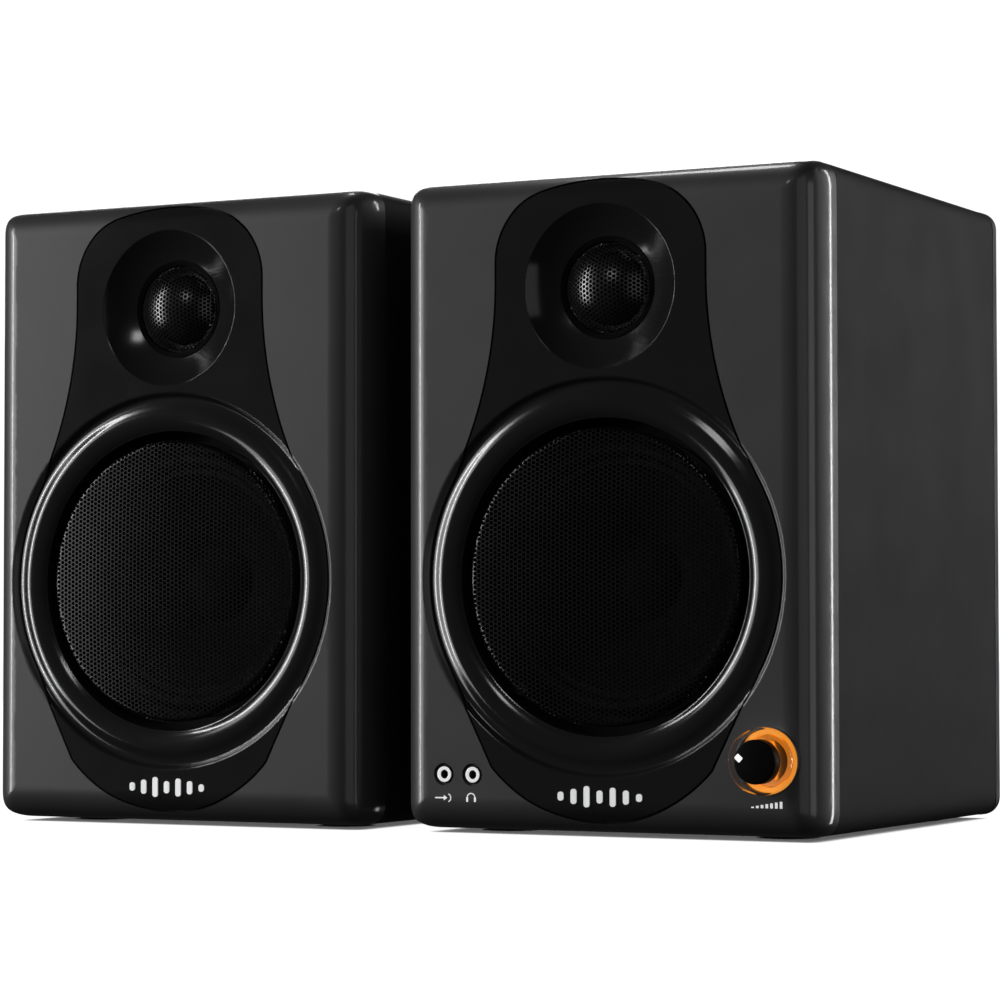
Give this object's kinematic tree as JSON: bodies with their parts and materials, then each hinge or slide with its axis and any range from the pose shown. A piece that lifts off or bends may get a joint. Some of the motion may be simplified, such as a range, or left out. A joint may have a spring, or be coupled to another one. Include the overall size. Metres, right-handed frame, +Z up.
{
  "type": "desktop speakers",
  "caption": "Powered stereo desktop speaker pair: rounded black cabinets, keyhole-shaped driver plate with ringed woofer and dished tweeter, lit volume knob, front sockets.",
  "frame": {"origin": "on the desk, at the bottom centre of the pair's bounding box", "axes": "+X to the right speaker as seen from the front, -Y out of the fronts, +Z up"},
  "size_m": [0.348, 0.2176, 0.2415],
  "materials": {
    "cabinet_vinyl": "black vinyl wrap over board, low satin",
    "satin_black": "satin black moulded plastic",
    "plate_black": "deep black moulded plastic, semi-gloss",
    "badge_silver": "bright satin",
    "grille_black": "black powder coat, perforated",
    "basket_steel": "black paint",
    "surround_rubber": "matte",
    "cone_paper": "matte, coated",
    "copper_wire": "lacquered copper",
    "spider_cloth": "resin-stiffened cloth",
    "ferrite": "matte grey-black",
    "zinc_steel": "bright zinc plate",
    "tweeter_metal": "black paint",
    "dome_silk": "coated silk",
    "rear_board": "black vinyl wrap over board, low satin",
    "port_plastic": "satin black",
    "foot_foam": "matte foam rubber",
    "screw_black": "black oxide",
    "terminal_plastic": "satin black",
    "clip_red": "semi-gloss red",
    "clip_black": "semi-gloss black",
    "knob_black": "satin black",
    "knob_clear": "clear smoked acrylic",
    "mark_white": "white paint",
    "light_amber": "amber light guide, lit",
    "pot_metal": "plain",
    "jack_metal": "nickel plate",
    "circuit_board": "green solder mask",
    "amplifier_metal": "black powder coat",
    "transformer_steel": "varnished laminations",
    "rocker_black": "semi-gloss",
    "socket_metal": "nickel plate"
  },
  "bodies": {
    "right_speaker": {"right_cabinet": "cabinet_vinyl", "right_front_baffle": "satin_black", "right_driver_plate": "plate_black", "right_badge": "badge_silver", "right_woofer_grille": "grille_black", "right_woofer_basket": "basket_steel", "right_woofer_surround": "surround_rubber", "right_spider": "spider_cloth", "right_woofer_magnet": "ferrite", "right_woofer_yoke": "zinc_steel", "right_tweeter_grille": "grille_black", "right_tweeter_body": "tweeter_metal", "right_rear_panel": "rear_board", "right_port_tube": "port_plastic", "right_feet": "foot_foam", "right_screws": "screw_black", "right_terminal_block": "terminal_plastic", "light_ring": "light_amber", "volume_pot": "pot_metal", "aux_jack": "jack_metal", "headphone_jack": "jack_metal", "control_board": "circuit_board", "amplifier_plate": "amplifier_metal", "amplifier_board": "circuit_board", "transformer": "transformer_steel", "mains_inlet": "terminal_plastic", "usb_socket": "socket_metal", "rca_sockets": "socket_metal"},
    "left_speaker": {"left_cabinet": "cabinet_vinyl", "left_front_baffle": "satin_black", "left_driver_plate": "plate_black", "left_badge": "badge_silver", "left_woofer_grille": "grille_black", "left_woofer_basket": "basket_steel", "left_woofer_surround": "surround_rubber", "left_spider": "spider_cloth", "left_woofer_magnet": "ferrite", "left_woofer_yoke": "zinc_steel", "left_tweeter_grille": "grille_black", "left_tweeter_body": "tweeter_metal", "left_rear_panel": "rear_board", "left_port_tube": "port_plastic", "left_feet": "foot_foam", "left_screws": "screw_black", "left_terminal_block": "terminal_plastic"},
    "volume_knob": {"volume_knob": "knob_black", "knob_collar": "knob_clear", "knob_pointer": "mark_white", "volume_shaft": "zinc_steel"},
    "power_rocker": {"power_rocker": "rocker_black"},
    "right_woofer_cone": {"right_woofer_cone": "cone_paper", "right_voice_coil": "copper_wire"},
    "right_tweeter_dome": {"right_tweeter_dome": "dome_silk"},
    "right_red_clip": {"right_red_clip": "clip_red"},
    "right_black_clip": {"right_black_clip": "clip_black"},
    "left_woofer_cone": {"left_woofer_cone": "cone_paper", "left_voice_coil": "copper_wire"},
    "left_tweeter_dome": {"left_tweeter_dome": "dome_silk"},
    "left_red_clip": {"left_red_clip": "clip_red"},
    "left_black_clip": {"left_black_clip": "clip_black"}
  },
  "joints": [
    {"name": "left_speaker_place", "type": "slide", "parent": "right_speaker", "child": "left_speaker", "axis": [-1, 0, 0], "range_m": [0, 0.3]},
    {"name": "volume_turn", "type": "hinge", "parent": "right_speaker", "child": "volume_knob", "pos_m": [0.156, -0.09667, 0.029], "axis": [0, 1, 0], "range_deg": [-60, 240]},
    {"name": "power_press", "type": "hinge", "parent": "right_speaker", "child": "power_rocker", "pos_m": [0.125, 0.09682, 0.0675], "axis": [-1, 0, 0], "range_deg": [0, 20]},
    {"name": "right_woofer_stroke", "type": "slide", "parent": "right_speaker", "child": "right_woofer_cone", "axis": [0, -1, 0], "range_m": [-0.003, 0.003], "stiffness_N_per_m": 1500, "deforming": ["right_woofer_surround", "right_spider"]},
    {"name": "right_tweeter_stroke", "type": "slide", "parent": "right_speaker", "child": "right_tweeter_dome", "axis": [0, -1, 0], "range_m": [-0.0003, 0.0003], "stiffness_N_per_m": 4000},
    {"name": "right_red_clip_press", "type": "hinge", "parent": "right_speaker", "child": "right_red_clip", "pos_m": [0.078, 0.09782, 0.135], "axis": [-1, 0, 0], "range_deg": [0, 25], "stiffness_Nm_per_rad": 0.12, "springref_deg": -11.46},
    {"name": "right_black_clip_press", "type": "hinge", "parent": "right_speaker", "child": "right_black_clip", "pos_m": [0.104, 0.09782, 0.135], "axis": [-1, 0, 0], "range_deg": [0, 25], "stiffness_Nm_per_rad": 0.12, "springref_deg": -11.46},
    {"name": "left_woofer_stroke", "type": "slide", "parent": "left_speaker", "child": "left_woofer_cone", "axis": [0, -1, 0], "range_m": [-0.003, 0.003], "stiffness_N_per_m": 1500, "deforming": ["left_woofer_surround", "left_spider"]},
    {"name": "left_tweeter_stroke", "type": "slide", "parent": "left_speaker", "child": "left_tweeter_dome", "axis": [0, -1, 0], "range_m": [-0.0003, 0.0003], "stiffness_N_per_m": 4000},
    {"name": "left_red_clip_press", "type": "hinge", "parent": "left_speaker", "child": "left_red_clip", "pos_m": [-0.104, 0.09233, 0.077], "axis": [-1, 0, 0], "range_deg": [0, 25], "stiffness_Nm_per_rad": 0.12, "springref_deg": -11.46},
    {"name": "left_black_clip_press", "type": "hinge", "parent": "left_speaker", "child": "left_black_clip", "pos_m": [-0.078, 0.09233, 0.077], "axis": [-1, 0, 0], "range_deg": [0, 25], "stiffness_Nm_per_rad": 0.12, "springref_deg": -11.46}
  ]
}
